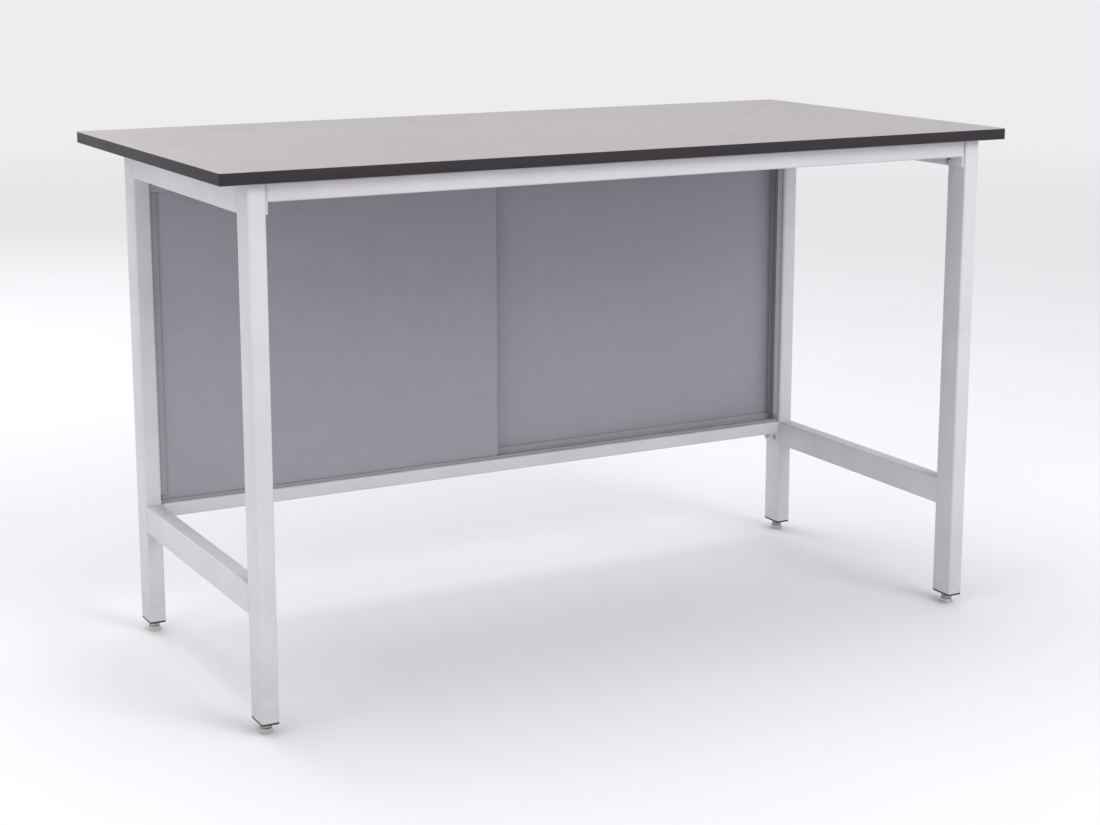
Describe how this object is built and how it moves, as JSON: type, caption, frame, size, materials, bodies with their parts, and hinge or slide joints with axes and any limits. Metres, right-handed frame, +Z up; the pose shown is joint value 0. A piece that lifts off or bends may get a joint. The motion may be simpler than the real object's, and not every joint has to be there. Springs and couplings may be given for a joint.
{
  "type": "lab bench",
  "caption": "Steel-frame laboratory bench with a dark-edged grey laminate worktop, sliding back panels in grooved tracks and screw-adjusted levelling feet.",
  "frame": {"origin": "on the floor under the middle of the worktop", "axes": "+X along the bench to the right as seen from the front, +Y to the rear, +Z up"},
  "size_m": [1.5, 0.75, 0.9],
  "materials": {
    "worktop_laminate": "matt grey decor on both faces, dark core at the edges",
    "frame_paint": "light grey epoxy powder coat, satin",
    "panel_board": "mid-grey melamine-faced board, matt",
    "track_plastic": "extruded grey plastic",
    "zinc_steel": "zinc-plated steel",
    "insert_nylon": "moulded dark grey nylon",
    "pad_nylon": "moulded light grey nylon"
  },
  "bodies": {
    "bench": {"worktop": "worktop_laminate", "leg_front_left": "frame_paint", "leg_front_right": "frame_paint", "leg_rear_left": "frame_paint", "leg_rear_right": "frame_paint", "end_top_rail_left": "frame_paint", "end_stretcher_left": "frame_paint", "end_top_rail_right": "frame_paint", "end_stretcher_right": "frame_paint", "front_top_rail": "frame_paint", "rear_top_rail": "frame_paint", "rear_lower_rail": "frame_paint", "bolt_front_top_rail_left_1": "zinc_steel", "bolt_front_top_rail_left_2": "zinc_steel", "bolt_front_top_rail_right_1": "zinc_steel", "bolt_front_top_rail_right_2": "zinc_steel", "bolt_rear_top_rail_left_1": "zinc_steel", "bolt_rear_top_rail_left_2": "zinc_steel", "bolt_rear_top_rail_right_1": "zinc_steel", "bolt_rear_top_rail_right_2": "zinc_steel", "bolt_rear_lower_rail_left_1": "zinc_steel", "bolt_rear_lower_rail_left_2": "zinc_steel", "bolt_rear_lower_rail_right_1": "zinc_steel", "bolt_rear_lower_rail_right_2": "zinc_steel", "panel_track_bottom": "track_plastic", "panel_track_top": "track_plastic", "panel_channel_left": "track_plastic", "panel_channel_right": "track_plastic", "leg_insert_front_left": "insert_nylon", "lock_nut_front_left": "zinc_steel", "leg_insert_front_right": "insert_nylon", "lock_nut_front_right": "zinc_steel", "leg_insert_rear_left": "insert_nylon", "lock_nut_rear_left": "zinc_steel", "leg_insert_rear_right": "insert_nylon", "lock_nut_rear_right": "zinc_steel", "worktop_screw_left_front": "zinc_steel", "worktop_screw_left_rear": "zinc_steel", "worktop_screw_right_front": "zinc_steel", "worktop_screw_right_rear": "zinc_steel", "worktop_screw_front_middle": "zinc_steel", "worktop_screw_rear_middle": "zinc_steel", "track_screw_bottom_left": "zinc_steel", "track_screw_bottom_middle": "zinc_steel", "track_screw_bottom_right": "zinc_steel", "track_screw_top_left": "zinc_steel", "track_screw_top_middle": "zinc_steel", "track_screw_top_right": "zinc_steel"},
    "left_panel": {"back_panel_left": "panel_board"},
    "right_panel": {"back_panel_right": "panel_board"},
    "pad_front_left": {"foot_pad_front_left": "pad_nylon"},
    "stud_front_left": {"foot_stud_front_left": "zinc_steel"},
    "pad_front_right": {"foot_pad_front_right": "pad_nylon"},
    "stud_front_right": {"foot_stud_front_right": "zinc_steel"},
    "pad_rear_left": {"foot_pad_rear_left": "pad_nylon"},
    "stud_rear_left": {"foot_stud_rear_left": "zinc_steel"},
    "pad_rear_right": {"foot_pad_rear_right": "pad_nylon"},
    "stud_rear_right": {"foot_stud_rear_right": "zinc_steel"}
  },
  "joints": [
    {"name": "left_panel_slide", "type": "slide", "parent": "bench", "child": "left_panel", "axis": [1, 0, 0], "range_m": [0, 0.656]},
    {"name": "right_panel_slide", "type": "slide", "parent": "bench", "child": "right_panel", "axis": [-1, 0, 0], "range_m": [0, 0.656]},
    {"name": "foot_front_left_travel", "type": "slide", "parent": "bench", "child": "pad_front_left", "axis": [0, 0, -1], "range_m": [0, 0.025]},
    {"name": "foot_front_left_screw", "type": "hinge", "parent": "pad_front_left", "child": "stud_front_left", "pos_m": [-0.687, -0.335, 0.0108], "axis": [0, 0, -1], "range_deg": [0, 6030]},
    {"name": "foot_front_right_travel", "type": "slide", "parent": "bench", "child": "pad_front_right", "axis": [0, 0, -1], "range_m": [0, 0.025]},
    {"name": "foot_front_right_screw", "type": "hinge", "parent": "pad_front_right", "child": "stud_front_right", "pos_m": [0.687, -0.335, 0.0108], "axis": [0, 0, -1], "range_deg": [0, 6030]},
    {"name": "foot_rear_left_travel", "type": "slide", "parent": "bench", "child": "pad_rear_left", "axis": [0, 0, -1], "range_m": [0, 0.025]},
    {"name": "foot_rear_left_screw", "type": "hinge", "parent": "pad_rear_left", "child": "stud_rear_left", "pos_m": [-0.687, 0.23, 0.0108], "axis": [0, 0, -1], "range_deg": [0, 6030]},
    {"name": "foot_rear_right_travel", "type": "slide", "parent": "bench", "child": "pad_rear_right", "axis": [0, 0, -1], "range_m": [0, 0.025]},
    {"name": "foot_rear_right_screw", "type": "hinge", "parent": "pad_rear_right", "child": "stud_rear_right", "pos_m": [0.687, 0.23, 0.0108], "axis": [0, 0, -1], "range_deg": [0, 6030]}
  ],
  "couplings": [
    {"joint": "foot_front_left_screw", "follows": "foot_front_left_travel", "rad_per_m": 4188.8},
    {"joint": "foot_front_right_screw", "follows": "foot_front_right_travel", "rad_per_m": 4188.8},
    {"joint": "foot_rear_left_screw", "follows": "foot_rear_left_travel", "rad_per_m": 4188.8},
    {"joint": "foot_rear_right_screw", "follows": "foot_rear_right_travel", "rad_per_m": 4188.8}
  ]
}
